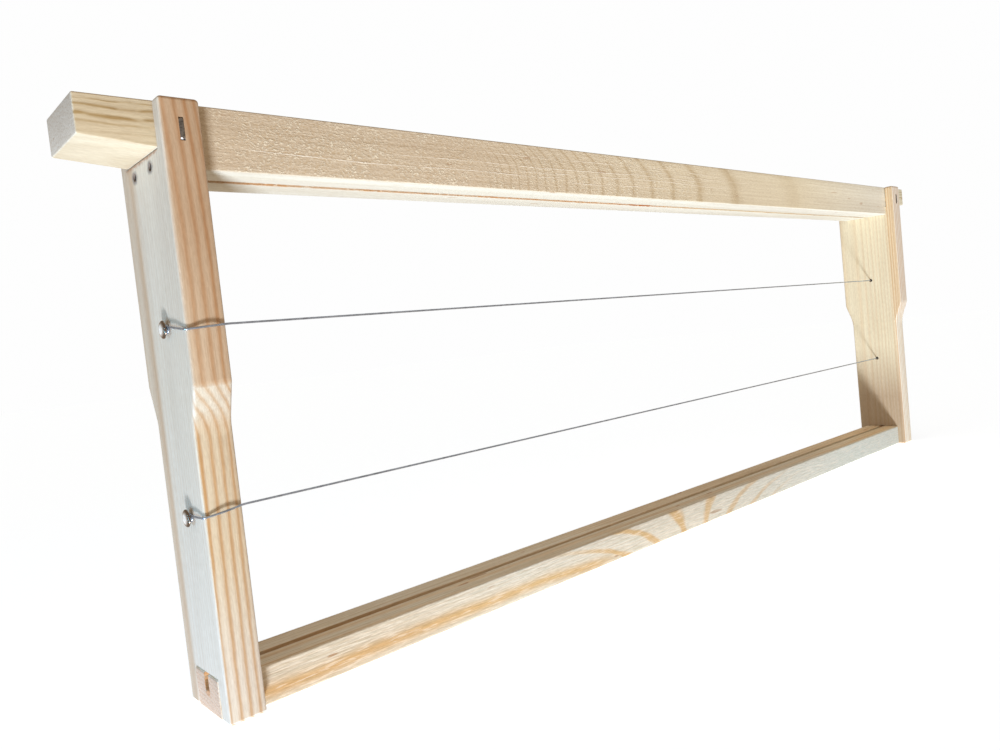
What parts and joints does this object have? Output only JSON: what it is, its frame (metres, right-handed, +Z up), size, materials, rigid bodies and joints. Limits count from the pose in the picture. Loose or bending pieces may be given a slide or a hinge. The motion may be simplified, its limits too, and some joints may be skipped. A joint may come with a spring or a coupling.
{
  "type": "wooden hive frame",
  "caption": "Self-spacing wooden frame for honeycomb, with lugs to hang it in a beehive and steel wire across its window.",
  "frame": {"origin": "middle of the frame in length and thickness, on the plane that the foot of the frame stands on", "axes": "+X along the top bar to the right, +Y to the back, +Z up to the top bar"},
  "size_m": [0.47, 0.0357, 0.159],
  "materials": {
    "top_bar_wood": "rough-sawn bare spruce",
    "side_bar_wood": "planed bare pine with orange grain lines",
    "bottom_bar_wood": "planed bare pine",
    "wire_steel": "plain drawn stainless steel wire",
    "tack_steel": "polished, slightly brassy steel",
    "staple_steel": "galvanised",
    "nail_steel": "dull bright steel"
  },
  "bodies": {
    "root": {"top_bar": "top_bar_wood", "side_bar_left": "side_bar_wood", "side_bar_right": "side_bar_wood", "bottom_bar": "bottom_bar_wood", "frame_wire": "wire_steel", "wire_tacks": "tack_steel", "staples": "staple_steel", "top_nails": "nail_steel", "bottom_nails": "nail_steel"}
  },
  "joints": []
}
